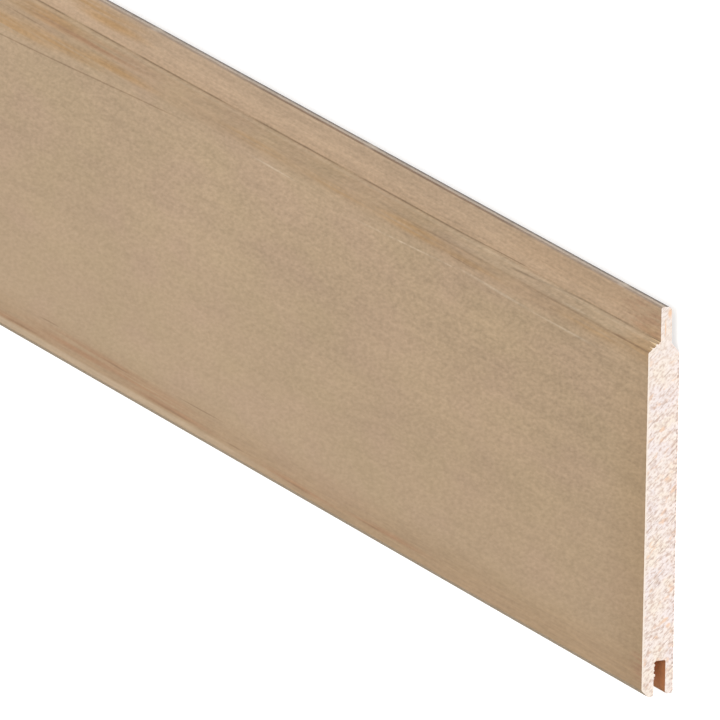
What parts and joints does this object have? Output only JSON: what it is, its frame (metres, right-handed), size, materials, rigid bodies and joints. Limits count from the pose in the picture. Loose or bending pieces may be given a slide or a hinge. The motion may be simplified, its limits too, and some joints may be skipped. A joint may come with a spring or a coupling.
{
  "type": "lining board",
  "caption": "Flat planed softwood board with a tongue along one long edge and a matching groove along the other, bevelled to form a V joint; lines walls and ceilings.",
  "frame": {"origin": "on the back face, under the middle of the length and of the overall width", "axes": "+X along the length and the grain, +Y across the board towards the tongue, +Z out of the show face"},
  "size_m": [1.8, 0.14, 0.012],
  "materials": {
    "planed_pine": "planed smooth, unsealed"
  },
  "bodies": {
    "root": {"lining_board": "planed_pine"}
  },
  "joints": []
}
